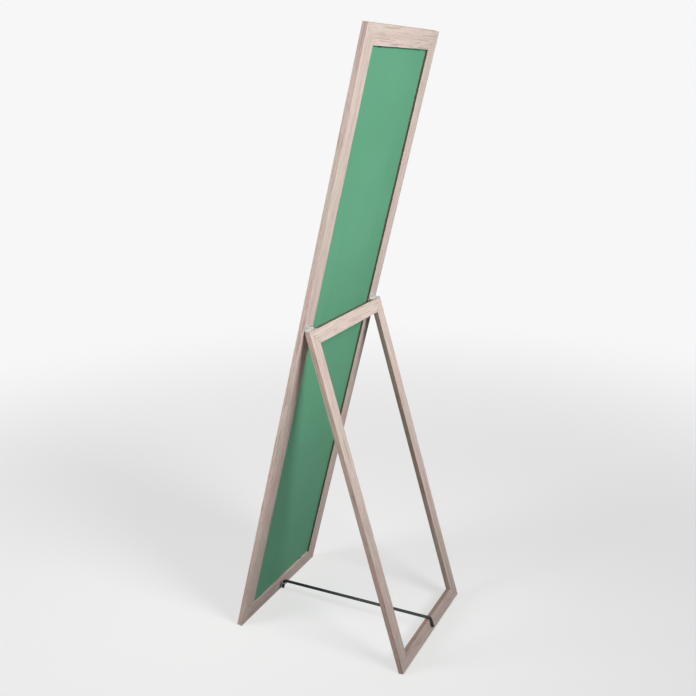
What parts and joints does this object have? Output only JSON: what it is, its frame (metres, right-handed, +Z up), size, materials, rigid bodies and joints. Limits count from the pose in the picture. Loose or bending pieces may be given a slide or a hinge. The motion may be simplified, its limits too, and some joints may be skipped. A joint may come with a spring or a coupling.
{
  "type": "menu chalkboard easel",
  "caption": "Tall free-standing easel board: green writing panel in a pale oak frame that leans back on a hinged leg frame, held open by a lift-off steel rod.",
  "frame": {"origin": "on the floor, at the middle of the footprint of the open easel", "axes": "+Z up, the writing side faces -Y, the leg frame stands at +Y, +X across the board"},
  "size_m": [0.4, 0.5013, 1.5507],
  "materials": {
    "pale_oak": "matt, bleached oak grain",
    "green_writing_coat": "satin green coating",
    "retaining_steel": "plain thin steel",
    "hinge_zinc": "zinc plated",
    "screw_zinc": "zinc plated",
    "black_steel": "satin black"
  },
  "bodies": {
    "board": {"board_left_stile": "pale_oak", "board_right_stile": "pale_oak", "board_top_rail": "pale_oak", "board_bottom_rail": "pale_oak", "writing_panel": "green_writing_coat", "panel_points": "retaining_steel", "board_corner_nails": "retaining_steel", "left_hinge_board_leaf": "hinge_zinc", "left_hinge_pin": "hinge_zinc", "right_hinge_board_leaf": "hinge_zinc", "right_hinge_pin": "hinge_zinc", "hinge_board_screws": "screw_zinc", "rod_eye": "screw_zinc"},
    "leg_frame": {"leg_left_stile": "pale_oak", "leg_right_stile": "pale_oak", "leg_top_rail": "pale_oak", "leg_bottom_rail": "pale_oak", "leg_corner_nails": "retaining_steel", "left_hinge_leg_leaf": "hinge_zinc", "right_hinge_leg_leaf": "hinge_zinc", "hinge_leg_screws": "screw_zinc"},
    "rod": {"stay_rod": "black_steel"}
  },
  "joints": [
    {"name": "leg_fold", "type": "hinge", "parent": "board", "child": "leg_frame", "pos_m": [0, -0.00469, 0.86668], "axis": [-1, 0, 0], "range_deg": [0, 29.1]},
    {"name": "rod_lift", "type": "slide", "parent": "board", "child": "rod", "axis": [0, 0.2538, 0.9673], "range_m": [0, 0.028]}
  ]
}
